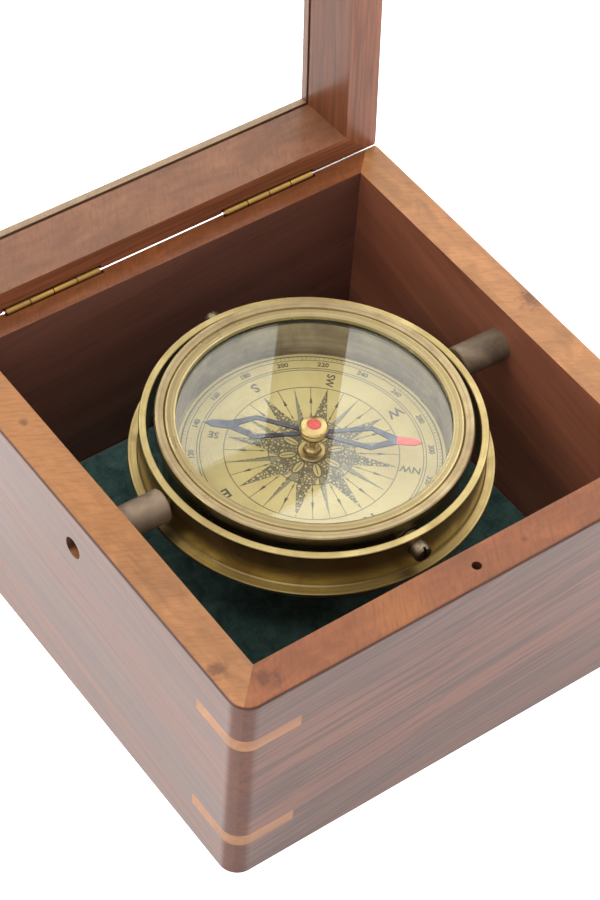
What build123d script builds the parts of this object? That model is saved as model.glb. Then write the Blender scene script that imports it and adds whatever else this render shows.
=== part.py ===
from build123d import *
import math
import os

os.makedirs("parts", exist_ok=True)

# Box: outer size, wall and edges (mm). +Z up, front wall faces -Y, hinges at +Y.
BOX_W = 160.0
BOX_H = 77.4
WALL = 12.0
CORNER_R = 6.0
EDGE_R = 1.0
HALF = BOX_W / 2
INNER = HALF - WALL

# Base panel in a rabbet, felt on top of it
RABBET = 4.0
BASE_T = 6.0
FELT_T = 1.5
FELT_GAP = 0.4
FELT_TOP = BASE_T + FELT_T

# Corner splines let into saw kerfs across each corner
SPLINE_T = 4.4
SPLINE_LEG = 20.0
BOX_SPLINE_Z = (16.6, 60.7)

# Lid frame, built closed above the box
LEAF_GAP = 0.5
LID_DEPTH = 19.9
GLASS_T = 2.3
BEAD_T = 2.4
BEAD_W = 5.0
LID_BOTTOM = BOX_H + LEAF_GAP
LID_H = LID_DEPTH + GLASS_T + BEAD_T
LID_OPEN_DEG = 93.2

# Bevels that let the lid swing past upright: steeper as far as the outer ends of the hinges
BEVEL = 4.4
BEVEL_MIDDLE_DEG = 53.0
BEVEL_END_DEG = 47.0
BEVEL_MIDDLE_HALF = 55.0

# Hinges, with leaves let into saw kerfs
HINGE_Y = HALF - BEVEL
HINGE_Z = BOX_H + LEAF_GAP / 2
HINGE_X = (-38.5, 38.5)
HINGE_L = 32.0
BARREL_R = 1.15
PIN_R = 0.55
RUN = 0.05
KNUCKLES = 4
KNUCKLE_GAP = 0.3
LEAF_T = 0.9
LEAF_DEPTH = 9.0
NOTCH_R = 1.45
NOTCH_OVER = 1.0

# Catch pin on the lid and its hole in the front rim
CATCH_X = 1.7
CATCH_Y = -74.0
CATCH_PIN_R = 1.1
CATCH_HOLE_R = 1.45
CATCH_REACH = 3.0
CATCH_HOLE_DEPTH = 6.0

# Gimbal: it hangs a little off the middle of the case, and its outer axis is a little off X
PIVOT_Z = 63.9
GIMBAL_X = 0.8
GIMBAL_Y = -1.25
GIMBAL_TURN = -1.1
RING_IN = 48.0
RING_OUT = 50.3
RING_EDGE = 0.2
FLANGE_R = 53.3
FLANGE_T = 1.2
RING_Z0 = PIVOT_Z - 9.1
RING_Z1 = PIVOT_Z + 4.4
SIDE_SHANK_R = 2.0
SIDE_HEAD_R = 3.1
SIDE_HEAD_T = 2.4
COUNTERBORE_R = 3.4
COUNTERBORE_DEPTH = 5.0
SPACER_R = 5.05
SPACER_END = 51.4
SIDE_TIP = 48.3
SLOT_W = 0.7
SLOT_DEPTH = 0.6

# Screws from the ring into the bowl
BOWL_SHANK_R = 1.5
BOWL_HEAD_R = 2.8
BOWL_HEAD_T = 3.9
BOWL_HEAD_Y = 50.35
BOWL_SLOT_DEPTH = 1.1
BOWL_TIP = 42.4
SLEEVE_R = 3.3
SLEEVE_IN = 46.6
SLEEVE_OUT = 47.8
BOSS_R = 3.8
BOSS_OUT = 46.2
BOSS_HOLE_END = 42.0

# Bowl, heights measured on the level bowl
BOWL_R = 43.0
BOWL_BORE_R = 41.2
BOWL_TOP = 69.0
BOWL_FLOOR = 29.0
BOWL_BOTTOM = 26.0
LEDGE_Z = 52.6
LEDGE_R = 39.2
FIT_R = 41.1
WINDOW_R = 39.7
PLATE_TOP = 54.0
CARD_T = 0.4
CARD_R = 39.0
CARD_TOP = PLATE_TOP + CARD_T
GASKET_Z = 66.9
GLASS_Z0 = 67.6
GLASS_Z1 = 69.6
BEZEL_R = 45.9
BEZEL_SKIRT = 67.8
BEZEL_TOP = 71.3
GROOVE_R = 43.0
GROOVE_Z = 70.5

# Ballast in the bottom of the bowl
BALLAST_R = 20.0
BALLAST_TOP = 37.0
BALLAST_HEAD_R = 3.2
BALLAST_HEAD_T = 1.6
BALLAST_SCREW_TOP = 33.0

# Needle, cap and post
NEEDLE_Z = 62.6
NEEDLE_T = 0.5
NEEDLE_L = 31.6
NEEDLE_HUB_R = 2.6
NEEDLE_EYE_END = 24.0
NEEDLE_EYE_MID = 16.7
NEEDLE_HALF_W = 4.5
NEEDLE_STRIP = 1.5
NEEDLE_DEG = -39.3
CAP_R = 4.2
CAP_TOP = 66.4
CAP_CONE = 65.5
JEWEL_R = 2.1
JEWEL_SEAT = 66.1
JEWEL_TOP = 66.8
POST_R = 1.1
POST_SHOULDER = 64.0
POST_TOP = CAP_CONE - 0.35
COLLAR_R = 4.3


def save(shape, node):
    export_step(shape, f"parts/{node}.step")


def block(x0, x1, y0, y1, z0, z1):
    size = (x1 - x0, y1 - y0, z1 - z0)
    centre = ((x0 + x1) / 2, (y0 + y1) / 2, (z0 + z1) / 2)
    return Pos(*centre) * Box(*size)


def rod(start, direction, radius, length):
    align = (Align.CENTER, Align.CENTER, Align.MIN)
    return Plane(origin=start, z_dir=direction) * Cylinder(radius, length, align=align)


def turned(points):
    return revolve(Plane.XZ * Polygon(*points, align=None), axis=Axis.Z)


def turned_on(start, direction, points):
    frame = Plane(origin=start, z_dir=direction)
    return frame * turned(points)


def tube(r0, r1, z0, z1):
    return turned([(r0, z0), (r1, z0), (r1, z1), (r0, z1)])


def rounded_prism(half, radius, z0, height):
    outline = RectangleRounded(2 * half, 2 * half, radius)
    return Pos(0, 0, z0) * extrude(outline, amount=height)


def side_wedge(angle):
    reach = BOX_W
    wedge = Polygon((0, 0), (-reach, -reach), (reach, -reach), align=None)
    return Rot(0, 0, angle) * extrude(wedge, amount=2 * reach, both=True)


def mitred(frame):
    angles = {"front": 0, "right": 90, "back": 180, "left": 270}
    return {side: frame & side_wedge(angle) for side, angle in angles.items()}


def hung(shape):
    """Moves a gimbal, bowl or needle shape from its own centred place to where it hangs in the case."""
    return Pos(GIMBAL_X, GIMBAL_Y, 0) * Rot(0, 0, GIMBAL_TURN) * shape


def opened(shape):
    hinge_axis = Axis((0, HINGE_Y, HINGE_Z), (1, 0, 0))
    return shape.rotate(hinge_axis, -LID_OPEN_DEG)


def bevel_cutter(z_edge, side):
    over = 4.0
    strips = []
    for degrees, half in ((BEVEL_END_DEG, BOX_W), (BEVEL_MIDDLE_DEG, BEVEL_MIDDLE_HALF)):
        rise = side * (BEVEL + over) * math.tan(math.radians(degrees))
        profile = Polygon(
            (HINGE_Y, z_edge),
            (HALF + over, z_edge + rise),
            (HALF + over, z_edge),
            align=None,
        )
        strips.append(extrude(Plane.YZ * profile, amount=half, both=True))
    return strips[0] + strips[1]


def eased_frame(half_inner, z0, height):
    frame = rounded_prism(HALF, CORNER_R, z0, height) - block(
        -half_inner, half_inner, -half_inner, half_inner, z0 - 1, z0 + height + 1
    )
    for face in (frame.faces().sort_by(Axis.Z)[0], frame.faces().sort_by(Axis.Z)[-1]):
        frame = fillet(
            [e for e in frame.edges() if any(e.is_same(o) for o in face.outer_wire().edges())],
            EDGE_R,
        )
    return frame


def splines(z_list, sx, sy):
    over = HALF + 1
    kerf_end = HALF - SPLINE_LEG - 1
    corner = Polygon(
        (sx * kerf_end, sy * over),
        (sx * over, sy * over),
        (sx * over, sy * kerf_end),
        align=None,
    )
    keys = []
    for z in z_list:
        slab = extrude(corner, amount=SPLINE_T / 2, both=True)
        keys.append(Pos(0, 0, z) * slab)
    return keys


def clip_to_outline(keys, z0, height):
    return [key & rounded_prism(HALF, CORNER_R, z0, height) for key in keys]


def slot_cutter(start, direction, radius, depth):
    frame = Plane(origin=start, z_dir=direction)
    return frame * Pos(0, 0, -depth / 2) * Box(2.4 * radius, SLOT_W, depth)


def leaf_kerf(hinge_x, side):
    half = HINGE_L / 2
    z0, z1 = sorted((HINGE_Z, HINGE_Z + side * LEAF_DEPTH))
    return block(hinge_x - half, hinge_x + half, HINGE_Y - LEAF_T / 2, HINGE_Y + LEAF_T / 2, z0, z1)


def barrel_notch(hinge_x):
    half = HINGE_L / 2 + NOTCH_OVER
    return rod((hinge_x - half, HINGE_Y, HINGE_Z), (1, 0, 0), NOTCH_R, 2 * half)


def knuckle_spans(hinge_x, first):
    pitch = HINGE_L / KNUCKLES
    start = hinge_x - HINGE_L / 2
    spans = []
    for i in range(first, KNUCKLES, 2):
        x0 = start + i * pitch + (KNUCKLE_GAP / 2 if i else 0)
        x1 = start + (i + 1) * pitch - (KNUCKLE_GAP / 2 if i < KNUCKLES - 1 else 0)
        spans.append((x0, x1))
    return spans


def hinge_leaf(hinge_x, first, side, pin_hole_r):
    leaf = leaf_kerf(hinge_x, side)
    for x0, x1 in knuckle_spans(hinge_x, 1 - first):
        leaf -= rod((x0 - KNUCKLE_GAP, HINGE_Y, HINGE_Z), (1, 0, 0), NOTCH_R, x1 - x0 + 2 * KNUCKLE_GAP)
    for x0, x1 in knuckle_spans(hinge_x, first):
        leaf += rod((x0, HINGE_Y, HINGE_Z), (1, 0, 0), BARREL_R, x1 - x0)
    leaf -= rod((hinge_x - HINGE_L, HINGE_Y, HINGE_Z), (1, 0, 0), pin_hole_r, 2 * HINGE_L)
    return leaf


def side_seat(sx):
    """Where a side screw's head seats in its wall, along the gimbal's outer axis."""
    return sx * (HALF - COUNTERBORE_DEPTH) - GIMBAL_X


# ---- Box walls -------------------------------------------------------------
box_frame = eased_frame(INNER, 0, BOX_H)
box_frame -= bevel_cutter(BOX_H, -1)
rabbet_half = INNER + RABBET
box_frame -= block(-rabbet_half, rabbet_half, -rabbet_half, rabbet_half, -1, BASE_T)

corners = {
    "front_left": (-1, -1),
    "front_right": (1, -1),
    "back_left": (-1, 1),
    "back_right": (1, 1),
}
box_splines = {}
for name, (sx, sy) in corners.items():
    keys = splines(BOX_SPLINE_Z, sx, sy)
    for key in keys:
        box_frame -= key
    box_splines[name] = clip_to_outline(keys, 0, BOX_H)

for sx in (-1, 1):
    outward = (sx, 0, 0)
    box_frame -= hung(rod((side_seat(sx), 0, PIVOT_Z), outward, COUNTERBORE_R, 2 * COUNTERBORE_DEPTH))
    box_frame -= hung(rod((sx * SPACER_END, 0, PIVOT_Z), outward, SIDE_SHANK_R, HALF - SPACER_END))

box_frame -= rod((CATCH_X, CATCH_Y, BOX_H + 1), (0, 0, -1), CATCH_HOLE_R, CATCH_HOLE_DEPTH + 1)

for hinge_x in HINGE_X:
    box_frame -= leaf_kerf(hinge_x, -1)
    box_frame -= barrel_notch(hinge_x)

for side, wall in mitred(box_frame).items():
    save(wall, f"{side}_wall")
for name, keys in box_splines.items():
    save(Compound(keys), f"spline_{name}")

base_panel = block(-rabbet_half, rabbet_half, -rabbet_half, rabbet_half, 0, BASE_T)
save(base_panel, "base_panel")
felt_half = INNER - FELT_GAP
save(block(-felt_half, felt_half, -felt_half, felt_half, BASE_T, FELT_TOP), "felt_lining")

# ---- Hinges ----------------------------------------------------------------
for side, hinge_x in zip(("left", "right"), HINGE_X):
    save(hinge_leaf(hinge_x, 0, -1, PIN_R), f"box_leaf_{side}")
    save(opened(hinge_leaf(hinge_x, 1, 1, PIN_R + RUN)), f"lid_leaf_{side}")
    pin = rod((hinge_x - HINGE_L / 2, HINGE_Y, HINGE_Z), (1, 0, 0), PIN_R, HINGE_L)
    save(pin, f"hinge_pin_{side}")

# ---- Lid -------------------------------------------------------------------
lid_frame = eased_frame(INNER, LID_BOTTOM, LID_H)
lid_frame -= bevel_cutter(LID_BOTTOM, 1)
bead_out = INNER + BEAD_W
glass_z = LID_BOTTOM + LID_DEPTH
bead_z = glass_z + GLASS_T
lid_top = LID_BOTTOM + LID_H
lid_frame -= block(-bead_out, bead_out, -bead_out, bead_out, glass_z, lid_top + 1)

lid_spline_z = LID_BOTTOM + LID_DEPTH / 2
lid_keys = []
for sx, sy in corners.values():
    for key in splines((lid_spline_z,), sx, sy):
        lid_frame -= key
        lid_keys += clip_to_outline([key], LID_BOTTOM, LID_H)

for hinge_x in HINGE_X:
    lid_frame -= leaf_kerf(hinge_x, 1)
    lid_frame -= barrel_notch(hinge_x)

catch_top = LID_BOTTOM + CATCH_HOLE_DEPTH
catch_bottom = BOX_H - CATCH_REACH
catch_pin = turned_on(
    (CATCH_X, CATCH_Y, 0),
    (0, 0, 1),
    [
        (0, catch_bottom),
        (CATCH_PIN_R * 0.5, catch_bottom),
        (CATCH_PIN_R, catch_bottom + 0.8),
        (CATCH_PIN_R, catch_top),
        (0, catch_top),
    ],
)
lid_frame -= catch_pin
save(opened(catch_pin), "catch_pin")

for side, rail in mitred(lid_frame).items():
    save(opened(rail), f"lid_rail_{side}")
save(opened(Compound(lid_keys)), "lid_splines")

lid_glass = block(-bead_out, bead_out, -bead_out, bead_out, glass_z, bead_z)
save(opened(lid_glass), "lid_glass")
bead_frame = block(-bead_out, bead_out, -bead_out, bead_out, bead_z, lid_top)
bead_frame -= block(-INNER, INNER, -INNER, INNER, bead_z - 1, lid_top + 1)
for side, bead in mitred(bead_frame).items():
    save(opened(bead), f"glass_bead_{side}")

# ---- Gimbal ----------------------------------------------------------------
for side, sx in (("left", -1), ("right", 1)):
    outward = (sx, 0, 0)
    outer = side_seat(sx) + sx * SIDE_HEAD_T
    head = rod((side_seat(sx), 0, PIVOT_Z), outward, SIDE_HEAD_R, SIDE_HEAD_T)
    head = chamfer(head.edges().filter_by(GeomType.CIRCLE).sort_by(Axis.X)[0 if sx < 0 else -1], 0.4)
    shank = rod((sx * SIDE_TIP, 0, PIVOT_Z), outward, SIDE_SHANK_R, abs(side_seat(sx)) - SIDE_TIP)
    slot = slot_cutter((outer, 0, PIVOT_Z), outward, SIDE_HEAD_R, SLOT_DEPTH)
    save(hung(head + shank - slot), f"pivot_screw_{side}")
    spacer = rod((sx * SPACER_END, 0, PIVOT_Z), outward, SPACER_R, HALF - SPACER_END)
    spacer = chamfer(spacer.edges().filter_by(GeomType.CIRCLE).sort_by(Axis.X)[-1 if sx < 0 else 0], 0.4)
    spacer -= rod((sx * SPACER_END, 0, PIVOT_Z), outward, SIDE_SHANK_R, HALF - SPACER_END)
    save(hung(spacer) & block(-INNER, INNER, -INNER, INNER, 0, BOX_H), f"spacer_tube_{side}")

flange_top = RING_Z0 + FLANGE_T
ring = turned([
    (RING_IN, RING_Z0 + RING_EDGE),
    (RING_IN + RING_EDGE, RING_Z0),
    (FLANGE_R - RING_EDGE, RING_Z0),
    (FLANGE_R, RING_Z0 + RING_EDGE),
    (FLANGE_R, flange_top - RING_EDGE),
    (FLANGE_R - RING_EDGE, flange_top),
    (RING_OUT + 2 * RING_EDGE, flange_top),
    (RING_OUT, flange_top + 2 * RING_EDGE),
    (RING_OUT, RING_Z1 - RING_EDGE),
    (RING_OUT - RING_EDGE, RING_Z1),
    (RING_IN + RING_EDGE, RING_Z1),
    (RING_IN, RING_Z1 - RING_EDGE),
])
ring -= rod((-FLANGE_R, 0, PIVOT_Z), (1, 0, 0), SIDE_SHANK_R + RUN, 2 * FLANGE_R)
ring -= rod((0, -FLANGE_R, PIVOT_Z), (0, 1, 0), BOWL_SHANK_R, 2 * FLANGE_R)
save(hung(ring), "gimbal_ring")

for side, sy in (("front", -1), ("back", 1)):
    outer = BOWL_HEAD_Y + BOWL_HEAD_T
    screw = turned_on(
        (0, sy * BOWL_TIP, PIVOT_Z),
        (0, sy, 0),
        [
            (0, 0),
            (BOWL_SHANK_R, 0),
            (BOWL_SHANK_R, BOWL_HEAD_Y - BOWL_TIP),
            (BOWL_HEAD_R, BOWL_HEAD_Y - BOWL_TIP),
            (BOWL_HEAD_R, outer - BOWL_TIP - 0.9),
            (BOWL_HEAD_R * 0.86, outer - BOWL_TIP - 0.3),
            (BOWL_HEAD_R * 0.6, outer - BOWL_TIP),
            (0, outer - BOWL_TIP),
        ],
    )
    screw -= slot_cutter((0, sy * outer, PIVOT_Z), (0, sy, 0), BOWL_HEAD_R, BOWL_SLOT_DEPTH)
    save(hung(screw), f"bowl_screw_{side}")
    sleeve = rod((0, sy * SLEEVE_IN, PIVOT_Z), (0, sy, 0), SLEEVE_R, SLEEVE_OUT - SLEEVE_IN)
    sleeve -= rod((0, sy * SLEEVE_IN, PIVOT_Z), (0, sy, 0), BOWL_SHANK_R, SLEEVE_OUT - SLEEVE_IN)
    save(hung(sleeve), f"bowl_sleeve_{side}")

# ---- Bowl ------------------------------------------------------------------
shell_wire = Wire([
    Edge.make_line((0, 0, BOWL_BOTTOM), (22.0, 0, BOWL_BOTTOM)),
    Edge.make_three_point_arc((22.0, 0, BOWL_BOTTOM), (37.6, 0, 35.0), (BOWL_R, 0, 52.0)),
    Edge.make_line((BOWL_R, 0, 52.0), (BOWL_R, 0, BOWL_TOP)),
    Edge.make_line((BOWL_R, 0, BOWL_TOP), (BOWL_BORE_R, 0, BOWL_TOP)),
    Edge.make_line((BOWL_BORE_R, 0, BOWL_TOP), (BOWL_BORE_R, 0, LEDGE_Z)),
    Edge.make_line((BOWL_BORE_R, 0, LEDGE_Z), (LEDGE_R, 0, LEDGE_Z)),
    Edge.make_line((LEDGE_R, 0, LEDGE_Z), (LEDGE_R, 0, 49.0)),
    Edge.make_three_point_arc((LEDGE_R, 0, 49.0), (34.4, 0, 36.4), (BALLAST_R, 0, BOWL_FLOOR)),
    Edge.make_line((BALLAST_R, 0, BOWL_FLOOR), (0, 0, BOWL_FLOOR)),
    Edge.make_line((0, 0, BOWL_FLOOR), (0, 0, BOWL_BOTTOM)),
])
bowl_shell = revolve(Face(shell_wire), axis=Axis.Z)
for sy in (-1, 1):
    boss_in = BOWL_BORE_R + 0.9
    bowl_shell += rod((0, sy * boss_in, PIVOT_Z), (0, sy, 0), BOSS_R, BOSS_OUT - boss_in)
    bowl_shell -= rod((0, sy * BOSS_HOLE_END, PIVOT_Z), (0, sy, 0), BOWL_SHANK_R + RUN, RING_IN - BOSS_HOLE_END)
ballast_screw = turned([
    (0, BOWL_BOTTOM - BALLAST_HEAD_T),
    (BALLAST_HEAD_R * 0.6, BOWL_BOTTOM - BALLAST_HEAD_T),
    (BALLAST_HEAD_R, BOWL_BOTTOM - BALLAST_HEAD_T * 0.4),
    (BALLAST_HEAD_R, BOWL_BOTTOM),
    (BOWL_SHANK_R, BOWL_BOTTOM),
    (BOWL_SHANK_R, BALLAST_SCREW_TOP),
    (0, BALLAST_SCREW_TOP),
])
bowl_shell -= ballast_screw
save(hung(bowl_shell), "bowl_shell")
ballast = Pos(0, 0, BOWL_FLOOR) * Cylinder(
    BALLAST_R, BALLAST_TOP - BOWL_FLOOR, align=(Align.CENTER, Align.CENTER, Align.MIN)
)
save(hung(ballast - ballast_screw), "ballast_weight")
head_low = BOWL_BOTTOM - BALLAST_HEAD_T
ballast_slot = slot_cutter((0, 0, head_low), (0, 0, -1), BALLAST_HEAD_R, SLOT_DEPTH)
save(hung(ballast_screw - ballast_slot), "ballast_screw")

bezel_band = turned([
    (BOWL_BORE_R, BOWL_TOP),
    (BOWL_R, BOWL_TOP),
    (BOWL_R, BEZEL_SKIRT),
    (BEZEL_R - 0.3, BEZEL_SKIRT),
    (BEZEL_R, BEZEL_SKIRT + 0.3),
    (BEZEL_R, BEZEL_TOP - 0.35),
    (BEZEL_R - 0.35, BEZEL_TOP),
    (BEZEL_R - 0.7, BEZEL_TOP),
    (GROOVE_R + 0.3, BEZEL_TOP - 0.25),
    (GROOVE_R, GROOVE_Z),
    (GROOVE_R, GLASS_Z1),
    (BOWL_BORE_R, GLASS_Z1),
])
save(hung(bezel_band), "bezel_band")
bezel_lip = turned([
    (WINDOW_R, GLASS_Z1),
    (GROOVE_R, GLASS_Z1),
    (GROOVE_R, GROOVE_Z),
    (GROOVE_R - 0.35, BEZEL_TOP - 0.25),
    (GROOVE_R - 0.8, BEZEL_TOP - 0.1),
    (WINDOW_R + 0.6, BEZEL_TOP - 0.4),
    (WINDOW_R + 0.15, BEZEL_TOP - 0.6),
    (WINDOW_R, BEZEL_TOP - 0.9),
])
save(hung(bezel_lip), "bezel_lip")

post = turned([
    (0, LEDGE_Z),
    (POST_R, LEDGE_Z),
    (POST_R, POST_SHOULDER),
    (0.15, POST_TOP),
    (0, POST_TOP),
])
plate = tube(POST_R, FIT_R, LEDGE_Z, PLATE_TOP)
save(hung(plate), "dial_plate")
save(hung(tube(POST_R, CARD_R, PLATE_TOP, CARD_TOP)), "dial_card")
save(hung(tube(WINDOW_R, FIT_R, PLATE_TOP, GASKET_Z)), "dial_spacer")
save(hung(tube(WINDOW_R, FIT_R, GASKET_Z, GLASS_Z0)), "glass_gasket")
save(hung(tube(0, FIT_R, GLASS_Z0, GLASS_Z1)), "bowl_glass")
save(hung(post), "needle_post")
collar = turned([
    (POST_R, CARD_TOP),
    (COLLAR_R, CARD_TOP),
    (COLLAR_R, CARD_TOP + 0.6),
    (COLLAR_R - 0.4, CARD_TOP + 1.0),
    (COLLAR_R - 1.5, CARD_TOP + 1.2),
    (COLLAR_R - 2.0, CARD_TOP + 2.2),
    (POST_R + 0.5, CARD_TOP + 2.7),
    (POST_R, CARD_TOP + 2.7),
])
save(hung(collar), "post_collar")


# ---- Needle ----------------------------------------------------------------
def eye_outline(inset):
    reach0 = NEEDLE_HUB_R + inset
    reach1 = NEEDLE_EYE_END - 1.6 * inset
    width = NEEDLE_HALF_W - inset
    root = 1.2 if inset == 0 else 0.25
    tip = 1.5 if inset == 0 else 0.25
    return Polygon(
        (reach0, -root),
        (NEEDLE_EYE_MID, -width),
        (reach1, -tip),
        (reach1, tip),
        (NEEDLE_EYE_MID, width),
        (reach0, root),
        align=None,
    )


arm = eye_outline(0) - eye_outline(NEEDLE_STRIP)
point = Polygon(
    (NEEDLE_EYE_END, -1.5),
    (NEEDLE_L - 2.4, -1.25),
    (NEEDLE_L, 0),
    (NEEDLE_L - 2.4, 1.25),
    (NEEDLE_EYE_END, 1.5),
    align=None,
)
hub = Circle(CAP_R - 0.4) - Circle(NEEDLE_HUB_R)
north = extrude(point, amount=NEEDLE_T, dir=(0, 0, 1))
blade = extrude(hub + arm + Rot(0, 0, 180) * (arm + point), amount=NEEDLE_T, dir=(0, 0, 1))
hub_bore = Cylinder(NEEDLE_HUB_R, 4 * NEEDLE_T)
place_needle = Rot(0, 0, NEEDLE_DEG) * Pos(0, 0, NEEDLE_Z)
save(hung(place_needle * (blade - hub_bore)), "needle_blade")
save(hung(place_needle * north), "needle_north_tip")

blade_top = NEEDLE_Z + NEEDLE_T
cap = turned([
    (1.5, NEEDLE_Z - 0.6),
    (NEEDLE_HUB_R, NEEDLE_Z - 0.6),
    (NEEDLE_HUB_R, blade_top),
    (CAP_R - 0.3, blade_top),
    (CAP_R - 0.3, blade_top + 0.5),
    (CAP_R - 0.6, blade_top + 0.9),
    (CAP_R - 0.6, blade_top + 1.3),
    (CAP_R, blade_top + 1.6),
    (CAP_R, blade_top + 2.3),
    (CAP_R - 0.5, CAP_TOP - 0.5),
    (CAP_R - 1.6, CAP_TOP - 0.1),
    (JEWEL_R + 0.2, CAP_TOP),
    (JEWEL_R, CAP_TOP),
    (JEWEL_R, JEWEL_SEAT),
    (0, JEWEL_SEAT),
    (0, CAP_CONE),
    (0.5, CAP_CONE),
    (1.5, CAP_CONE - 1.1),
])
save(hung(cap), "needle_cap")
jewel = turned([
    (0, JEWEL_SEAT),
    (JEWEL_R, JEWEL_SEAT),
    (JEWEL_R, CAP_TOP),
    (JEWEL_R - 0.5, JEWEL_TOP - 0.1),
    (0, JEWEL_TOP),
])
save(hung(jewel), "cap_jewel")
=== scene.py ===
import math

import bpy
from mathutils import Matrix, Vector, noise


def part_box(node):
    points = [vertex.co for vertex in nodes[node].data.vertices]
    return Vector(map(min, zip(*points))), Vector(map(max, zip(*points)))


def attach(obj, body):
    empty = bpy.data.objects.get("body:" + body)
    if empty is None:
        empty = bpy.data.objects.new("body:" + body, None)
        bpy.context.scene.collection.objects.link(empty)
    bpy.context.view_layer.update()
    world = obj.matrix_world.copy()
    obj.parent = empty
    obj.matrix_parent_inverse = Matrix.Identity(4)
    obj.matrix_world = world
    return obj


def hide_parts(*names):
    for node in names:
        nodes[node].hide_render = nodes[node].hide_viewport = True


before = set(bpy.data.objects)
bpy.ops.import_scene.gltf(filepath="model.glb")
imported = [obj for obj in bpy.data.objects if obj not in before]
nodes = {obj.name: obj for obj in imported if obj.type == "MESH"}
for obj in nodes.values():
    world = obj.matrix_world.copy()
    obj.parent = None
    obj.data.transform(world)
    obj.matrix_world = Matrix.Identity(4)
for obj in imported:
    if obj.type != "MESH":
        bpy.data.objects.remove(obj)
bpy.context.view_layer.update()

MM = 0.001
SIDES = ("front", "back", "left", "right")

# Camera: it looks down at the middle of the dial from the front left
CAMERA_AIM = (-0.0062, -0.0044, 0.0635)
CAMERA_AZIMUTH = -39.18
CAMERA_ELEVATION = 48.32
CAMERA_ROLL = 4.57
CAMERA_DISTANCE = 0.797
LENS = 111.66

# Light: a white room, brightest behind the object, and a floor that glows like a light table.
# The room brightens where the cosine of the angle from SKY_BACK goes through SKY_FADE.
SKY_BACK = (0.63, 0.74, 0.25)
SKY_HIGH = 2.4
SKY_LOW = 0.85
SKY_FADE = (-0.1, 0.75)
FLOOR_GLOW = 0.9
FLOOR_SIZE = 8.0
FLOOR_HEIGHT = -0.0003
FLOOR_DARK = (0.86, 0.86, 0.86, 1)
FLOOR_LIGHT = (0.9, 0.9, 0.9, 1)
WHITE = (1, 1, 1, 1)

# Lamps: where each hangs, the side of its square and its power in watts
LAMP_AIM = (0, 0, 0.05)
LAMPS = {
    "key_light": ((-1.1, 0.4, 1.3), 1.0, 7),
    "front_light": ((-0.5, -0.7, 1.5), 0.15, 2.2),
}


def srgb(red, green, blue):
    """A colour given in 0-255 display values, as linear light with alpha."""
    def linear(value):
        value /= 255
        return value / 12.92 if value <= 0.04045 else ((value + 0.055) / 1.055) ** 2.4
    return (linear(red), linear(green), linear(blue), 1.0)


# ---- Material building blocks ----------------------------------------------
class Recipe:
    """One procedural material, with short names for the nodes it is made of."""

    def __init__(self, name):
        self.material = bpy.data.materials.new(name)
        self.material.use_nodes = True
        self.tree = self.material.node_tree
        self.tree.nodes.clear()
        self.place = self.node("TexCoord").outputs["Object"]

    def node(self, kind, inputs=None, **settings):
        made = self.tree.nodes.new("ShaderNode" + kind)
        for key, value in settings.items():
            setattr(made, key, value)
        for key, value in (inputs or {}).items():
            if isinstance(value, bpy.types.NodeSocket):
                self.tree.links.new(value, made.inputs[key])
            else:
                made.inputs[key].default_value = value
        return made

    def math(self, operation, a, b=0.0):
        return self.node("Math", {0: a, 1: b}, operation=operation).outputs[0]

    def vector(self, operation, a, b, output="Vector"):
        return self.node("VectorMath", {0: a, 1: b}, operation=operation).outputs[output]

    def stretch(self, vector, scale, at=(0, 0, 0)):
        return self.node("Mapping", {"Vector": vector, "Scale": scale, "Location": at}).outputs[0]

    def noise(self, vector, scale, detail=3.0, roughness=0.55, distortion=0.0):
        return self.node(
            "TexNoise",
            {
                "Vector": vector, "Scale": scale, "Detail": detail,
                "Roughness": roughness, "Distortion": distortion,
            },
        ).outputs["Fac"]

    def levels(self, value, low, high, to_low=0.0, to_high=1.0):
        return self.node(
            "MapRange",
            {"Value": value, "From Min": low, "From Max": high, "To Min": to_low, "To Max": to_high},
        ).outputs[0]

    def ramp(self, value, *stops):
        made = self.node("ValToRGB", {"Fac": value})
        elements = made.color_ramp.elements
        while len(elements) < len(stops):
            elements.new(0.5)
        for element, (position, colour) in zip(elements, stops):
            element.position = position
            element.color = colour
        return made.outputs["Color"]

    def mix(self, factor, a, b, blend="MIX"):
        made = self.node("Mix", {0: factor, 6: a, 7: b}, data_type="RGBA", blend_type=blend)
        return made.outputs[2]

    def bump(self, height, distance, strength=1.0, normal=None):
        inputs = {"Height": height, "Distance": distance, "Strength": strength}
        if normal is not None:
            inputs["Normal"] = normal
        return self.node("Bump", inputs).outputs[0]

    def finish(self, shader):
        self.node("OutputMaterial", {"Surface": shader})
        return self.material

    def principled(self, **inputs):
        named = {key.replace("_", " "): value for key, value in inputs.items()}
        return self.finish(self.node("BsdfPrincipled", named).outputs[0])


def paint(material, *names):
    """Gives CAD nodes this material."""
    for name in names:
        for place in nodes[name].material_slots:
            place.material = material


# ---- Wood ------------------------------------------------------------------
# Coordinates are squeezed along the grain, so that noise read at them comes out as streaks
ALONG = 0.016
GRAIN_SCALE = {"X": (ALONG, 1, 1), "Y": (1, ALONG, 1), "Z": (1, 1, ALONG)}
FIGURE_SCALE = {"X": (0.2, 1, 1), "Y": (1, 0.2, 1), "Z": (1, 1, 0.2)}
STROKE_SCALE = {"X": (1, 0.16, 1), "Y": (0.16, 1, 1), "Z": (0.16, 1, 1)}
STROKE_TURN = 0.5
BOARD_STEP = (0.37, 0.23, 0.11)

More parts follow.
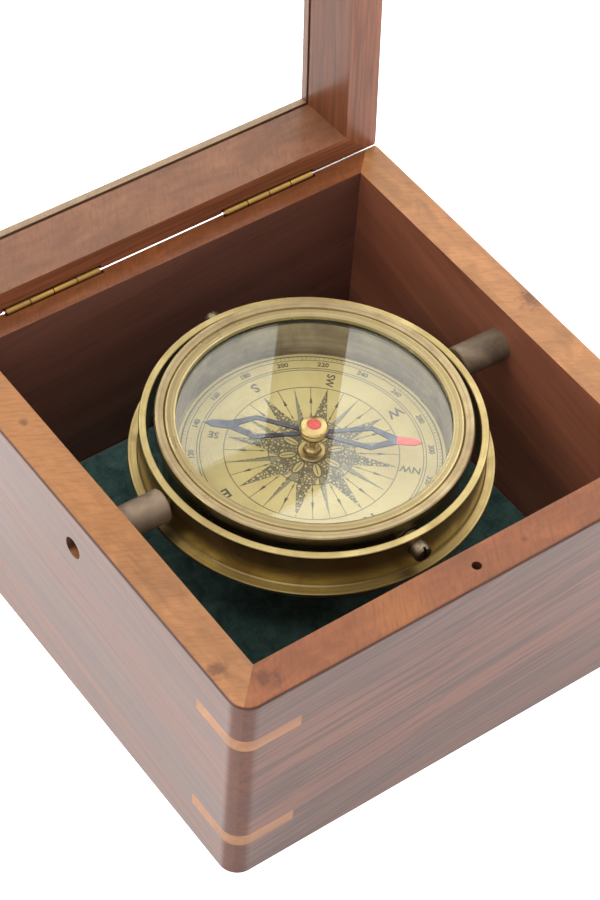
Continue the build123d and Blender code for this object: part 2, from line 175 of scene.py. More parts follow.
# Noises: scale, detail, roughness and distortion
GROWTH_NOISE = (60, 2, 0.5, 0.6)
BAND_NOISE = (330, 2, 0.5, 0.4)
LINE_NOISE = (1050, 1, 0.5, 0.2)
PORE_NOISE = (2600, 2, 0.5)
CLOUD_NOISE = (60, 3, 0.6, 0.5)
FIGURE_NOISE = (260, 3, 0.6, 0.6)
STROKE_NOISE = (1100, 3, 0.6, 0.5)
KNOT_NOISE = (420, 3, 0.6)
LINE_SHARE = 0.62

# Wander of the grain: the scale of the noise and how far it shifts things, in metres
BOARD_WANDER = (17, 0.004)
FIGURE_WANDER = (30, 0.012)

WOOD_DARK = srgb(62, 38, 30)
WOOD_MIDDLE = srgb(118, 76, 58)
WOOD_LIGHT = srgb(136, 90, 69)
KNOT = srgb(78, 40, 26)
CORNER_RED = srgb(88, 50, 36)

WALL_GLOSS = 0.52
RIM_GLOSS = 0.2
VARNISH_ROUGHNESS = 0.2
GRAIN_DEPTH = 0.06 * MM

# Points in the open inside of the case and of the lid, in metres
CASE_MIDDLE = (0, 0, 0.02)
LID_MIDDLE = (0, 0.05, 0.153)


def shade(colour, tone):
    """A colour made lighter or darker. tone is one number, or one for each of red, green and blue."""
    tones = tone if isinstance(tone, tuple) else (tone, tone, tone)
    return tuple(t * c for t, c in zip(tones, colour)) + (1.0,)


def wavy(r, place, scale, amount):
    """Shifts coordinates by a slow noise, so that straight grain wanders."""
    drift = r.node("TexNoise", {"Vector": place, "Scale": scale, "Detail": 1.5}).outputs["Color"]
    centred = r.vector("SUBTRACT", drift, (0.5, 0.5, 0.5))
    shift = r.node("VectorMath", {0: centred, "Scale": amount}, operation="SCALE").outputs[0]
    return r.vector("ADD", place, shift)


def turned_place(r, place, axis, angle):
    """Coordinates turned about the origin. axis is one of X_AXIS, Y_AXIS and Z_AXIS."""
    return r.node("VectorRotate", {"Vector": place, "Angle": angle}, rotation_type=axis).outputs[0]


def board_place(r, grain, seed, lean, rise):
    """Coordinates of one board, squeezed along its grain. seed makes every board different."""
    place = turned_place(r, r.place, "X_AXIS", lean)
    place = turned_place(r, place, "Y_AXIS" if grain == "X" else "X_AXIS", rise)
    place = wavy(r, place, *BOARD_WANDER)
    return r.stretch(place, GRAIN_SCALE[grain], tuple(seed * step for step in BOARD_STEP))


def distance(r, centre):
    """Metres from a centre that is given in mm."""
    return r.vector("DISTANCE", r.place, tuple(c * MM for c in centre), "Value")


def near(r, away, radius, amount):
    """amount in the middle of a round patch, fading to 0 at its radius in mm."""
    return r.levels(away, 0.3 * radius * MM, radius * MM, amount, 0.0)


def streaks_of(r, board):
    """Fine lines and broader bands along the grain, mixed into one value from 0 to 1."""
    line = r.levels(r.noise(board, *LINE_NOISE), 0.34, 0.66)
    band = r.levels(r.noise(board, *BAND_NOISE), 0.34, 0.66)
    return r.math("ADD", r.math("MULTIPLY", line, LINE_SHARE), r.math("MULTIPLY", band, 1 - LINE_SHARE))


def board_colour(r, board, growth, streak, tone, contrast):
    """Long grain: slow bands of growth, dark and light streaks, and fine pores."""
    dark, middle, light = (shade(colour, tone) for colour in (WOOD_DARK, WOOD_MIDDLE, WOOD_LIGHT))
    body = r.ramp(r.levels(growth, 0.3, 0.7), (0.0, shade(middle, 0.8)), (0.5, middle), (1.0, light))
    body = r.mix(r.levels(streak, 0.2, 0.66, contrast, 0.0), body, dark)
    body = r.mix(r.levels(streak, 0.62, 0.95, 0.0, 0.6 * contrast), body, light)
    pores = r.noise(board, *PORE_NOISE)
    return r.mix(r.levels(pores, 0.64, 0.74, 0.0, 0.55), body, shade(dark, 0.5))


def inner_faces(r, body, normal, tone, hollow):
    """Painted light: gives the faces that look towards the point hollow their own tone, lightening them as
    more light on the insides would.
    """
    outward = r.vector("SUBTRACT", r.place, hollow)
    away = r.vector("DOT_PRODUCT", outward, normal, "Value")
    return r.mix(r.levels(away, -MM, MM, 1.0, 0.0), body, tone + (1,), "MULTIPLY")


def rim_colour(r, grain, growth, strokes, rim, patch):
    """What faces up: a cloudy figure, short strokes across it, and at most one patch of another colour."""
    cloud = r.noise(r.place, *CLOUD_NOISE)
    figure = r.noise(r.stretch(wavy(r, r.place, *FIGURE_WANDER), FIGURE_SCALE[grain]), *FIGURE_NOISE)
    top = r.mix(r.levels(cloud, 0.34, 0.68), shade(rim, 0.84), shade(rim, 1.18))
    top = r.mix(r.levels(figure, 0.4, 0.68, 0.0, 0.55), top, shade(rim, 0.55))
    if patch:
        centre, radius, colour = patch
        top = r.mix(near(r, distance(r, centre), radius, 0.9), top, colour)
    top = r.mix(r.levels(strokes, 0.46, 0.7, 0.0, 0.45), top, shade(rim, 0.5))
    return r.mix(r.levels(growth, 0.55, 0.72, 0.0, 0.35), top, shade(rim, 0.6))


def with_knots(r, colour, knots):
    """Darkens small knots. Each is a centre and a radius, in mm."""
    if not knots:
        return colour
    ragged = r.levels(r.noise(r.place, *KNOT_NOISE), 0.3, 0.7, -0.5, 0.5)
    for centre, radius in knots:
        away = r.math("ADD", distance(r, centre), r.math("MULTIPLY", ragged, radius * MM))
        colour = r.mix(near(r, away, radius, 0.6), colour, KNOT)
    return colour


def wood(name, grain, seed, tone, rim, contrast, lean=0.0, rise=0.0, knots=(), patch=None,
         gloss=WALL_GLOSS, worn_corner=1.0, inner=(1, 1, 1), hollow=CASE_MIDDLE):
    """Varnished hardwood. grain is the axis it runs along, rim the colour of what faces up.

    inner is a painted-light tone for the faces that look towards the point hollow. worn_corner is how far
    the varnish and the colour are worn where two upright faces meet.
    """
    r = Recipe(name)
    board = board_place(r, grain, seed, lean, rise)
    growth = r.noise(board, *GROWTH_NOISE)
    streak = streaks_of(r, board)
    normal = r.node("NewGeometry").outputs["Normal"]
    nx, ny, facing = r.node("SeparateXYZ", {0: normal}).outputs
    body = board_colour(r, board, growth, streak, tone, contrast)
    # Painted light: the faces that look towards hollow are lightened by the inner tone.
    body = inner_faces(r, body, normal, inner, hollow)

    slanted = turned_place(r, r.place, "Z_AXIS", STROKE_TURN)
    strokes = r.noise(r.stretch(slanted, STROKE_SCALE[grain]), *STROKE_NOISE)
    upward = r.levels(facing, 0.72, 0.94)
    colour = r.mix(upward, body, rim_colour(r, grain, growth, strokes, rim, patch))
    colour = with_knots(r, colour, knots)

    edge = r.math("MULTIPLY", r.levels(facing, 0.1, 0.45), r.levels(facing, 0.7, 0.95, 1.0, 0.0))
    colour = r.mix(r.math("MULTIPLY", edge, 0.6), colour, WOOD_DARK)
    corner = r.levels(r.math("ABSOLUTE", r.math("MULTIPLY", nx, ny)), 0.1, 0.3, 0.0, worn_corner)
    colour = r.mix(r.math("MULTIPLY", corner, 0.6), colour, CORNER_RED)
    varnish = r.levels(upward, 0.0, 1.0, gloss, RIM_GLOSS)
    varnish = r.math("MULTIPLY", varnish, r.levels(corner, 0.0, 1.0, 1.0, 0.25))
    height = r.math("ADD", r.math("MULTIPLY", streak, 0.5), r.math("MULTIPLY", strokes, 0.4))
    return r.principled(
        Base_Color=colour, Roughness=r.levels(growth, 0.3, 0.7, 0.36, 0.48),
        Normal=r.bump(height, GRAIN_DEPTH, 0.5), Specular_IOR_Level=0.2,
        Coat_Weight=varnish, Coat_Roughness=VARNISH_ROUGHNESS, Coat_IOR=1.5,
    )


RIM_ORANGE = srgb(156, 105, 63)
RIM_AMBER = srgb(174, 119, 72)
RIM_RED = srgb(136, 79, 45)
RIM_BRIGHT_RED = srgb(146, 88, 44)
GRAIN_RISE = math.radians(5)
WALL_TONE = 0.7
FRONT_TONE = (0.66, 0.61, 0.63)
# Painted light: these tones lighten the inside faces of the back and right walls, standing in for light that
# falls there.
BACK_INNER_PAINTED_LIGHT = (1.2, 1.15, 1.3)
RIGHT_INNER_PAINTED_LIGHT = (2.5, 2.1, 1.9)

# Knots and patches on the rims: a centre and a radius, in mm
FRONT_KNOTS = (((-67.5, -73.5, 77.4), 4.5), ((18.6, -73.8, 77.4), 1.6))
FRONT_PATCH = ((-25, -73, 77.4), 14, RIM_BRIGHT_RED)
LEFT_KNOTS = (((-77, -64.5, 77.4), 3.0), ((-72.2, 36.9, 77.4), 1.8))
LEFT_PATCH = ((-74, 70, 77.4), 90, RIM_AMBER)
RIGHT_KNOTS = (((77.5, -3.1, 77.4), 4.5),)


def paint_walls():
    front = wood(
        "wall_wood_front", "X", 1, FRONT_TONE, RIM_RED, 0.6,
        rise=GRAIN_RISE, knots=FRONT_KNOTS, patch=FRONT_PATCH, gloss=0.37,
    )
    left = wood(
        "wall_wood_left", "Y", 3, WALL_TONE, RIM_ORANGE, 0.32,
        rise=-GRAIN_RISE, knots=LEFT_KNOTS, patch=LEFT_PATCH,
    )
    back = wood("wall_wood_back", "X", 5, WALL_TONE, RIM_RED, 0.15, rise=GRAIN_RISE, inner=BACK_INNER_PAINTED_LIGHT)
    right = wood(
        "wall_wood_right", "Y", 8, WALL_TONE, RIM_AMBER, 0.16,
        rise=-2 * GRAIN_RISE, knots=RIGHT_KNOTS, inner=RIGHT_INNER_PAINTED_LIGHT,
    )
    for side, material in zip(SIDES, (front, back, left, right)):
        paint(material, f"{side}_wall")


LID_LEAN = math.radians(3.2)
LID_RIM = srgb(146, 98, 69)
LID_TONE = 0.8
# Painted light: this tone lightens the inside faces of the lid rails, standing in for light that falls
# there.
LID_INNER_PAINTED_LIGHT = (1.7, 1.35, 0.95)
BEAD_TAN = srgb(160, 132, 102)
BEAD_TONE = (1.35, 1.45, 1.4)


def paint_lid():
    for number, side in enumerate(SIDES):
        grain = "X" if side in ("front", "back") else "Z"
        rail = wood(
            f"lid_wood_{side}", grain, 11 + number, LID_TONE, LID_RIM, 0.45,
            lean=LID_LEAN, gloss=0.28, inner=LID_INNER_PAINTED_LIGHT, hollow=LID_MIDDLE,
        )
        bead = wood(f"bead_wood_{side}", grain, 16 + number, BEAD_TONE, BEAD_TAN, 0.3, lean=LID_LEAN)
        paint(rail, f"lid_rail_{side}")
        paint(bead, f"glass_bead_{side}")


KEY_TAN = srgb(180, 116, 70)
KEY_TONE = (1.65, 1.72, 1.05)


def paint_splines_and_base():
    splines = wood("key_wood", "X", 20, KEY_TONE, KEY_TAN, 0.2, gloss=0.26, worn_corner=0.0)
    corners = [f"spline_{end}_{side}" for end in ("front", "back") for side in ("left", "right")]
    paint(splines, "lid_splines", *corners)
    paint(wood("base_wood", "X", 23, 1.0, LID_RIM, 0.6), "base_panel")


paint_walls()
paint_lid()
paint_splines_and_base()


# ---- Metals ----------------------------------------------------------------
DIAL_CENTRE = [sum(pair) / 2 for pair in zip(*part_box("dial_card"))][:2]
SPECK_NOISE = (1600, 3, 0.6)
SPECK_DEPTH = 0.01 * MM
GROOVE_NOISE = (4200, 2, 0.7)
TURNED_BAND_NOISE = (1500, 2, 0.6)


def lathe_path(r):
    """Coordinates that only change across the marks of a lathe that turns about the dial's axis."""
    centred = r.stretch(r.place, (1, 1, 1), (-DIAL_CENTRE[0], -DIAL_CENTRE[1], 0))
    x, y, z = r.node("SeparateXYZ", {0: centred}).outputs
    radius = r.math("SQRT", r.math("ADD", r.math("MULTIPLY", x, x), r.math("MULTIPLY", y, y)))
    return r.node("CombineXYZ", {0: radius, 1: z, 2: 0.0}).outputs[0]


def metal(name, bright, tarnish, rough, tarnished, spread=0.12, turned=0.0, patch=90, metallic=1.0):
    """Metal with a patchy tarnish. turned is the depth in metres of its lathe marks.

    rough and spread are its least roughness and the range above that, tarnished is the tarnish's
    greatest share, and patch is the scale of the tarnished patches.
    """
    r = Recipe(name)
    cloud = r.noise(r.place, patch, 5, 0.62, 0.4)
    speck = r.noise(r.place, *SPECK_NOISE)
    share = r.levels(cloud, 0.35, 0.68, 0.0, tarnished)
    share = r.math("ADD", share, r.levels(speck, 0.6, 0.75, 0.0, 0.18))
    colour = r.mix(share, bright, tarnish)
    normal = r.bump(speck, SPECK_DEPTH, 0.4)
    if turned:
        path = lathe_path(r)
        normal = r.bump(r.noise(path, *GROOVE_NOISE), turned, 0.6, normal)
        bands = r.noise(path, *TURNED_BAND_NOISE)
        colour = r.mix(r.levels(bands, 0.45, 0.7, 0.0, 0.6), colour, tarnish)
    roughness = r.levels(cloud, 0.3, 0.7, rough, rough + spread)
    roughness = r.math("ADD", roughness, r.math("MULTIPLY", share, 0.15))
    return r.principled(Base_Color=colour, Metallic=metallic, Roughness=roughness, Normal=normal)


BRASS = srgb(180, 162, 112)
BRASS_TARNISH = srgb(134, 110, 66)
LIP_BRASS = srgb(184, 172, 130)
BRONZE = srgb(180, 164, 124)
BRONZE_TARNISH = srgb(128, 106, 80)
GOLD_BRASS = srgb(190, 150, 84)
CAP_BRASS = srgb(222, 196, 136)
DULL_BRASS = srgb(188, 184, 178)
DULL_DARK = srgb(146, 138, 128)
STEEL = srgb(132, 118, 96)
STEEL_TARNISH = srgb(70, 58, 42)
TUBE = srgb(134, 114, 92)
TUBE_TARNISH = srgb(84, 70, 55)
BLUE_STEEL = srgb(104, 108, 118)
BLUE_DARK = srgb(58, 62, 72)


def paint_gimbal_and_bowl():
    ring = metal("antique_brass", BRASS, BRASS_TARNISH, 0.28, 0.5, turned=0.04 * MM)
    bowl = metal("bowl_brass", BRASS, BRASS_TARNISH, 0.24, 0.5, turned=0.04 * MM)
    lip = metal("lip_brass", LIP_BRASS, BRASS_TARNISH, 0.22, 0.5, turned=0.03 * MM, patch=50)
    band = metal("bezel_bronze", BRONZE, BRONZE_TARNISH, 0.26, 0.7, spread=0.14, turned=0.03 * MM, patch=70)
    wall = metal("wall_brass", DULL_BRASS, DULL_DARK, 0.36, 0.8, spread=0.14, turned=0.02 * MM)
    tube = metal("dark_tube", TUBE, TUBE_TARNISH, 0.42, 0.9, spread=0.16, metallic=0.35)
    paint(ring, "gimbal_ring")
    paint(bowl, "bowl_shell", "dial_plate", "post_collar")
    paint(lip, "bezel_lip")
    paint(band, "bezel_band")
    paint(wall, "dial_spacer")
    paint(tube, "spacer_tube_left", "spacer_tube_right")


def paint_needle():
    cap = metal("cap_brass", CAP_BRASS, BRASS_TARNISH, 0.2, 0.3)
    blade = metal("blued_steel", BLUE_STEEL, BLUE_DARK, 0.28, 0.9, patch=200)
    paint(cap, "needle_cap", "needle_post")
    paint(blade, "needle_blade")


def paint_hinges_and_screws():
    hinge = metal("hinge_brass", GOLD_BRASS, BRASS_TARNISH, 0.3, 0.5, spread=0.1)
    steel = metal("screw_steel", STEEL, STEEL_TARNISH, 0.3, 0.8, spread=0.15, patch=300)
    for side in ("left", "right"):
        paint(hinge, f"box_leaf_{side}", f"lid_leaf_{side}", f"hinge_pin_{side}")
        paint(steel, f"pivot_screw_{side}")
    for end in ("front", "back"):
        paint(steel, f"bowl_screw_{end}", f"bowl_sleeve_{end}")
    paint(hinge, "catch_pin")
    paint(steel, "ballast_screw", "ballast_weight")


paint_gimbal_and_bowl()
paint_needle()
paint_hinges_and_screws()


# ---- Paint, rubber, card and glass -----------------------------------------
RED = srgb(222, 88, 80)
RED_WORN = srgb(206, 68, 62)


def red_enamel():
    r = Recipe("red_enamel")
    cloud = r.noise(r.place, 700, 4, 0.6)
    return r.principled(
        Base_Color=r.mix(r.levels(cloud, 0.35, 0.7), RED, RED_WORN),
        Roughness=r.levels(cloud, 0.3, 0.7, 0.3, 0.45), Normal=r.bump(cloud, 0.03 * MM, 0.4),
        Coat_Weight=0.3, Coat_Roughness=0.2,
    )


paint(red_enamel(), "cap_jewel", "needle_north_tip")

RUBBER = srgb(34, 32, 28)
RUBBER_DUSTY = srgb(62, 58, 48)


def rubber():
    r = Recipe("seal_rubber")
    cloud = r.noise(r.place, 500, 4)
    return r.principled(
        Base_Color=r.mix(cloud, RUBBER, RUBBER_DUSTY),
        Roughness=r.levels(cloud, 0.3, 0.7, 0.6, 0.8),
    )


paint(rubber(), "glass_gasket")

CARD = srgb(215, 196, 134)
CARD_AGED = srgb(189, 168, 105)


def card_paper():
    r = Recipe("card_paper")
    age = r.noise(r.place, 45, 4, 0.6, 0.5)
    fibre = r.noise(r.place, 1800, 3, 0.6)
    body = r.mix(r.levels(age, 0.35, 0.7, 0.0, 0.8), CARD, CARD_AGED)
    body = r.mix(r.levels(fibre, 0.55, 0.8, 0.0, 0.25), body, CARD_AGED)
    return r.principled(
        Base_Color=body, Roughness=r.levels(fibre, 0.3, 0.7, 0.5, 0.65),
        Normal=r.bump(fibre, 0.02 * MM, 0.4),
    )


paint(card_paper(), "dial_card")


GLASS_TINT = (0.97, 0.985, 0.98, 1)
GLASS_SHADOW = (0.93, 0.95, 0.94, 1)


def clear_glass():
    """Glass that lets lamp light through to what is behind it, with faint smears."""
    r = Recipe("clear_glass")
    smear = r.noise(r.stretch(r.place, (1, 0.3, 1)), 60, 4, 0.6, 0.8)
    rough = r.levels(smear, 0.4, 0.75, 0.0, 0.05)
    pane = r.node(
        "BsdfPrincipled",
        {"Base Color": GLASS_TINT, "Roughness": rough, "IOR": 1.5, "Transmission Weight": 1.0},
    ).outputs[0]
    clear = r.node("BsdfTransparent", {"Color": GLASS_SHADOW}).outputs[0]
    shadow = r.node("LightPath").outputs["Is Shadow Ray"]
    return r.finish(r.node("MixShader", {0: shadow, 1: pane, 2: clear}).outputs[0])


paint(clear_glass(), "bowl_glass", "lid_glass")


# ---- Making pieces ---------------------------------------------------------
def piece(name, vertices, faces, body, material, smooth=False):
    """A new visual piece that rides on a body and fills a material slot."""
    mesh = bpy.data.meshes.new(name)
    mesh.from_pydata(vertices, [], faces)
    mesh.update()
    made = bpy.data.objects.new(name, mesh)
    bpy.context.scene.collection.objects.link(made)
    mesh.materials.append(material)
    if smooth:
        mesh.shade_smooth()
    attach(made, body)
    return made


# ---- Felt ------------------------------------------------------------------
FELT_DARK = srgb(48, 78, 73)
FELT_GREEN = srgb(84, 120, 112)
FELT_FIBRE = srgb(122, 156, 146)
FELT_CELLS = 90
FELT_WAVE = 0.18 * MM
FELT_SWELL = 55
FELT_NAP = 240


def felt_material():
    r = Recipe("green_felt")
    clump = r.noise(r.place, 160, 4, 0.65, 0.6)
    fibre = r.noise(r.place, 1300, 4, 0.7, 1.0)
    body = r.mix(r.levels(clump, 0.35, 0.7), FELT_DARK, FELT_GREEN)
    body = r.mix(r.levels(fibre, 0.5, 0.75, 0.0, 0.5), body, FELT_FIBRE)
    return r.principled(
        Base_Color=body, Roughness=r.levels(fibre, 0.3, 0.7, 0.85, 1.0), Normal=r.bump(fibre, 0.3 * MM, 0.8),
        Sheen_Weight=0.25, Sheen_Roughness=0.5, Specular_IOR_Level=0.2,
    )


def make_felt():
    """The laid cloth: a thin sheet that swells and naps a little."""
    low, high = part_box("felt_lining")
    count = FELT_CELLS + 1
    thickness = high[2] - low[2]
    vertices = []
    for j in range(count):
        for i in range(count):
            x = low[0] + (high[0] - low[0]) * i / FELT_CELLS
            y = low[1] + (high[1] - low[1]) * j / FELT_CELLS
            swell = noise.noise(Vector((x, y, 0.3)) * FELT_SWELL)
            lift = swell + 0.5 * noise.noise(Vector((x, y, 2.1)) * FELT_NAP)
            vertices.append((x, y, high[2] - FELT_WAVE * (1.0 - lift)))
    faces = [
        (j * count + i, j * count + i + 1, (j + 1) * count + i + 1, (j + 1) * count + i)
        for j in range(FELT_CELLS) for i in range(FELT_CELLS)
    ]
    felt = piece("felt_cloth", vertices, faces, "case", felt_material(), smooth=True)
    solid = felt.modifiers.new("thickness", "SOLIDIFY")
    solid.thickness = thickness - 3 * FELT_WAVE
    solid.offset = -1
    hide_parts("felt_lining")


make_felt()

# ---- Printed dial ----------------------------------------------------------
DIAL_TURN = math.radians(-1.5)
INK_T = 0.03 * MM
ROSE_R = 25.4
HEART_R = 12.5
RING_STEPS = 180


def on_dial(radius, angle, aside=0.0):
    """A place on the dial: radius and aside in mm, angle in degrees from +X before the card's own turn."""
    turn = math.radians(angle) + DIAL_TURN
    x = radius * math.cos(turn) - aside * math.sin(turn)
    y = radius * math.sin(turn) + aside * math.cos(turn)
    return (DIAL_CENTRE[0] + x * MM, DIAL_CENTRE[1] + y * MM)


class Print:
    """Ink shapes of one thickness, gathered into one mesh. layer sets how high they lie on the card."""

    def __init__(self, layer):
        self.z0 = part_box("dial_card")[1][2] + layer * INK_T
        self.z1 = self.z0 + INK_T
        self.vertices = []
        self.faces = []

    def shape(self, outline):
        base, count = len(self.vertices), len(outline)
        self.vertices += [(x, y, self.z0) for x, y in outline] + [(x, y, self.z1) for x, y in outline]
        self.faces.append(tuple(base + count + i for i in range(count)))
        self.faces.append(tuple(base + i for i in reversed(range(count))))
        for i in range(count):
            j = (i + 1) % count
            self.faces.append((base + i, base + j, base + count + j, base + count + i))

    def loop(self, inner, outer):
        """A closed band between two outlines with the same number of points."""
        base, count = len(self.vertices), len(inner)
        for (xi, yi), (xo, yo) in zip(inner, outer):
            self.vertices += [(xi, yi, self.z0), (xo, yo, self.z0), (xo, yo, self.z1), (xi, yi, self.z1)]
        for i in range(count):
            here, there = base + 4 * i, base + 4 * ((i + 1) % count)
            for k in range(4):
                n = (k + 1) % 4
                self.faces.append((here + k, here + n, there + n, there + k))

    def ring(self, radius, width):
        angles = [360 * i / RING_STEPS for i in range(RING_STEPS)]
        self.loop([on_dial(radius, a) for a in angles], [on_dial(radius + width, a) for a in angles])

    def line(self, r0, r1, angle, width, end_width=None):
        half0 = width / 2
        half1 = half0 if end_width is None else end_width / 2
        corners = ((r0, -half0), (r1, -half1), (r1, half1), (r0, half0))
        self.shape([on_dial(radius, angle, aside) for radius, aside in corners])

    def text(self, words, angle, reading, radius, size, weight):
        """Words centred at a place on the dial, read along the direction reading, in degrees."""
        font = bpy.data.curves.new("words", "FONT")
        font.body = words
        font.size = size * MM
        font.offset = weight * MM
        font.align_x = "CENTER"
        font.align_y = "CENTER"
        font.extrude = INK_T / 2
        font.resolution_u = 3
        holder = bpy.data.objects.new("words", font)
        mesh = bpy.data.meshes.new_from_object(holder)
        x, y = on_dial(radius, angle)
        turn = Matrix.Rotation(math.radians(reading) + DIAL_TURN, 4, "Z")
        place = Matrix.Translation((x, y, self.z0 + INK_T / 2)) @ turn
        base = len(self.vertices)
        self.vertices += [tuple(place @ v.co) for v in mesh.vertices]
        self.faces += [tuple(base + i for i in face.vertices) for face in mesh.polygons]
        bpy.data.objects.remove(holder)
        bpy.data.curves.remove(font)
        bpy.data.meshes.remove(mesh)

    def make(self, name, material):
        return piece(name, self.vertices, self.faces, "bowl", material)


def ink_material(name, ink, paper_share, motif=0, opening=(0.2, 0.3)):
    """Printing ink. motif is the scale of the pale figures left open in it, or 0 for a solid tone."""
    r = Recipe(name)
    grain = r.noise(r.place, 2600, 2, 0.6)
    share = r.levels(grain, 0.45, 0.75, paper_share * 0.4, paper_share)
    if motif:
        cells = r.node("TexVoronoi", {"Vector": r.place, "Scale": motif}, feature="DISTANCE_TO_EDGE")
        share = r.math("MAXIMUM", share, r.levels(cells.outputs["Distance"], *opening, 0.0, 0.85))
    return r.principled(Base_Color=r.mix(share, ink, CARD), Roughness=r.levels(grain, 0.3, 0.7, 0.45, 0.6))


INK = srgb(52, 56, 54)
GREY_INK = srgb(112, 114, 102)
CARDINALS = {"W": 0, "S": 90, "E": 180, "N": 270}
CORNERS = {"SW": 45, "SE": 135, "NE": 225, "NW": 315}
POINT_STEP = 11.25

# Lines: radii and widths in mm
LONG_TICK_R = 36.4
SHORT_TICK_R = 37.0
TICK_END_R = 37.9
TICK_WIDTH = 0.14
TICK_STEP = 2
RINGS = ((ROSE_R, 0.24), (32.4, 0.22), (33.2, 0.22), (LONG_TICK_R, 0.2), (37.8, 0.4))
POINT_LINE_R = 9
POINT_LINE_WIDTH = 0.18
DARTS = ((19.2, 21.8, 0.95), (14, 15.6, 0.6))
DART_TIP = 0.1


def print_lines():
    """The rings, the degree ticks, and a line with two darts between each two points of the star."""
    ink = Print(1)
    for radius, width in RINGS:
        ink.ring(radius, width)
    for i in range(1, 32, 2):
        angle = i * POINT_STEP
        ink.line(POINT_LINE_R, ROSE_R, angle, POINT_LINE_WIDTH)
        for start, end, width in DARTS:
            ink.line(start, end, angle, width, DART_TIP)
    for i in range(360 // TICK_STEP):
        start = SHORT_TICK_R if i % 5 else LONG_TICK_R
        ink.line(start, TICK_END_R, TICK_STEP * i, TICK_WIDTH)
    ink.make("dial_lines", ink_material("line_ink", INK, 0.3))


# Star: eight broad points, and eight narrow ones with a toned and a dark half
BROAD_START_R = 3
BROAD_WAIST_R = 9.4
BROAD_HALF = 2.7
NARROW_START_R = 8
NARROW_WAIST_R = 12
NARROW_HALF = 1.5
NARROW_DARK_HALF = 0.35
SPINE = (11, ROSE_R)
SPINE_WIDTHS = (0.22, 0.1)


def print_rose():
    """The star of sixteen points."""
    dark = Print(2)
    tone = Print(1.5)
    for i in range(16):
        angle = i * 2 * POINT_STEP
        tip = on_dial(ROSE_R, angle)
        if i % 2:
            start = on_dial(NARROW_START_R, angle)
            tone.shape([start, on_dial(NARROW_WAIST_R, angle, NARROW_HALF), tip])
            dark.shape([start, tip, on_dial(NARROW_WAIST_R, angle, -NARROW_DARK_HALF)])
            dark.line(*SPINE, angle, *SPINE_WIDTHS)
        else:
            right = on_dial(BROAD_WAIST_R, angle, -BROAD_HALF)
            left = on_dial(BROAD_WAIST_R, angle, BROAD_HALF)
            dark.shape([on_dial(BROAD_START_R, angle), right, tip, left])
    tone.make("dial_rose_halves", ink_material("tone_ink", GREY_INK, 0.45))
    dark.make("dial_rose_points", ink_material("rose_ink", INK, 0.35, 950, (0.13, 0.24)))


# Heart: the lace's hole and notched edge, and ovals given as length and width
LACE_HOLE_R = 2
LACE_STEPS = 48
LACE_NOTCH = 3
OVAL_R = 7.2
OVAL_STEPS = 24
OVAL_INNER = (4.8, 2.1)
OVAL_MIDDLE = (5.4, 2.7)
OVAL_OUTER = (5.8, 3.1)
OVAL_LINE = (5.2, 9)
OVAL_LINE_WIDTH = 0.3
HEART_RING_WIDTH = 0.25


def oval(angle, length, width):
    """An oval of the heart, with its length along the radius."""
    turns = [2 * math.pi * i / OVAL_STEPS for i in range(OVAL_STEPS)]
    return [on_dial(OVAL_R + length / 2 * math.cos(t), angle, width / 2 * math.sin(t)) for t in turns]


def print_heart():
    """The rosette in the middle of the star: a dark lace with pale ovals."""
    lace = Print(1)
    pale = Print(3)
    outline = Print(4)
    angles = [360 * i / LACE_STEPS for i in range(LACE_STEPS)]
    edge = [HEART_R - LACE_NOTCH * (i % 3 == 0) for i in range(LACE_STEPS)]
    lace.loop(
        [on_dial(LACE_HOLE_R, angle) for angle in angles],
        [on_dial(radius, angle) for radius, angle in zip(edge, angles)],
    )
    for i in range(8):
        angle = 22.5 + 45 * i
        pale.shape(oval(angle, *OVAL_MIDDLE))
        outline.loop(oval(angle, *OVAL_INNER), oval(angle, *OVAL_OUTER))
        outline.line(*OVAL_LINE, angle, OVAL_LINE_WIDTH)
    outline.ring(HEART_R, HEART_RING_WIDTH)
    lace.make("dial_heart_lace", ink_material("lace_ink", GREY_INK, 0.3, 1300, (0.24, 0.36)))
    pale.make("dial_heart_ovals", ink_material("pale_ink", CARD_AGED, 0.6))
    outline.make("dial_heart_outlines", ink_material("outline_ink", INK, 0.3))


# Letters and numbers: radius, size and added weight in mm
CARDINAL_TEXT = (29.6, 4.6, 0.1)
CORNER_TEXT = (29.0, 3.4, 0.07)
DEGREE_TEXT = (34.9, 2.3, 0.07)


def print_letters():
    """The cardinal letters all read one way. The others read round the dial."""
    ink = Print(1)
    for word, angle in CARDINALS.items():
        ink.text(word, angle, 180, *CARDINAL_TEXT)
    for word, angle in CORNERS.items():
        reading = angle if 90 < angle < 270 else angle + 180
        ink.text(word, angle, reading, *CORNER_TEXT)
    for degrees in range(20, 360, 20):
        angle = 270 - degrees
        ink.text(str(degrees), angle, angle - 90, *DEGREE_TEXT)
    ink.make("dial_letters", ink_material("letter_ink", INK, 0.25))


print_lines()
print_rose()
print_heart()
print_letters()


# ---- Floor, lights and camera ----------------------------------------------
def make_floor():
    half = FLOOR_SIZE / 2
    mesh = bpy.data.meshes.new("floor")
    corners = [(-half, -half, 0), (half, -half, 0), (half, half, 0), (-half, half, 0)]
    mesh.from_pydata(corners, [], [(0, 1, 2, 3)])
    floor = bpy.data.objects.new("floor", mesh)
    floor.location.z = FLOOR_HEIGHT
    bpy.context.scene.collection.objects.link(floor)
    r = Recipe("pale_floor")
    cloud = r.noise(r.place, 3, 3)
    mesh.materials.append(r.principled(
        Base_Color=r.mix(cloud, FLOOR_DARK, FLOOR_LIGHT),
        Roughness=r.levels(cloud, 0, 1, 0.6, 0.7),
        Emission_Color=WHITE, Emission_Strength=FLOOR_GLOW,
    ))


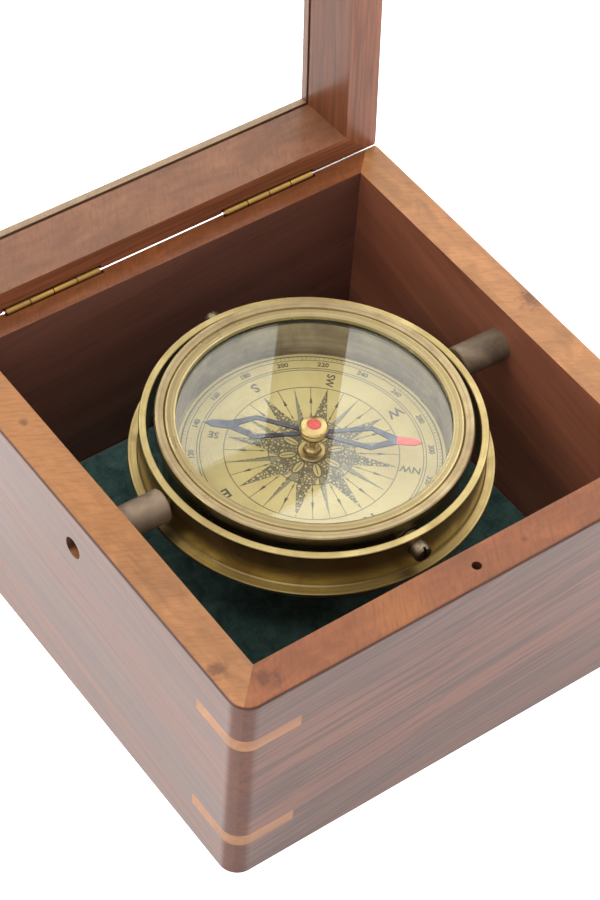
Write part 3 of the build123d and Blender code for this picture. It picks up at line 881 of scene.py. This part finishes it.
def area_light(name, at, aim, size, power):
    data = bpy.data.lights.new(name, "AREA")
    data.shape = "SQUARE"
    data.size = size
    data.energy = power
    made = bpy.data.objects.new(name, data)
    made.location = at
    made.rotation_euler = (Vector(aim) - Vector(at)).to_track_quat("-Z", "Y").to_euler()
    bpy.context.scene.collection.objects.link(made)


def make_world():
    world = bpy.data.worlds.new("white_room")
    bpy.context.scene.world = world
    world.use_nodes = True
    tree = world.node_tree
    back = tree.nodes["Background"]
    direction = tree.nodes.new("ShaderNodeTexCoord").outputs["Generated"]
    along = tree.nodes.new("ShaderNodeVectorMath")
    along.operation = "DOT_PRODUCT"
    along.inputs[1].default_value = Vector(SKY_BACK).normalized()
    spread = tree.nodes.new("ShaderNodeMapRange")
    spread.interpolation_type = "SMOOTHSTEP"
    limits = {"From Min": SKY_FADE[0], "From Max": SKY_FADE[1], "To Min": SKY_LOW, "To Max": SKY_HIGH}
    for key, value in limits.items():
        spread.inputs[key].default_value = value
    tree.links.new(direction, along.inputs[0])
    tree.links.new(along.outputs["Value"], spread.inputs["Value"])
    tree.links.new(spread.outputs[0], back.inputs["Strength"])
    back.inputs["Color"].default_value = WHITE


def make_camera():
    azimuth, elevation, roll = (math.radians(v) for v in (CAMERA_AZIMUTH, CAMERA_ELEVATION, CAMERA_ROLL))
    turn = (
        Matrix.Rotation(azimuth, 4, "Z")
        @ Matrix.Rotation(math.pi / 2 - elevation, 4, "X")
        @ Matrix.Rotation(roll, 4, "Z")
    )
    data = bpy.data.cameras.new("camera")
    data.lens = LENS
    data.clip_start = 0.01
    camera = bpy.data.objects.new("camera", data)
    back = Matrix.Translation((0, 0, CAMERA_DISTANCE))
    camera.matrix_world = Matrix.Translation(CAMERA_AIM) @ turn @ back
    bpy.context.scene.collection.objects.link(camera)
    bpy.context.scene.camera = camera


make_floor()
make_world()
for lamp, (at, size, power) in LAMPS.items():
    area_light(lamp, at, LAMP_AIM, size, power)
make_camera()
bpy.context.scene.view_settings.view_transform = "Standard"
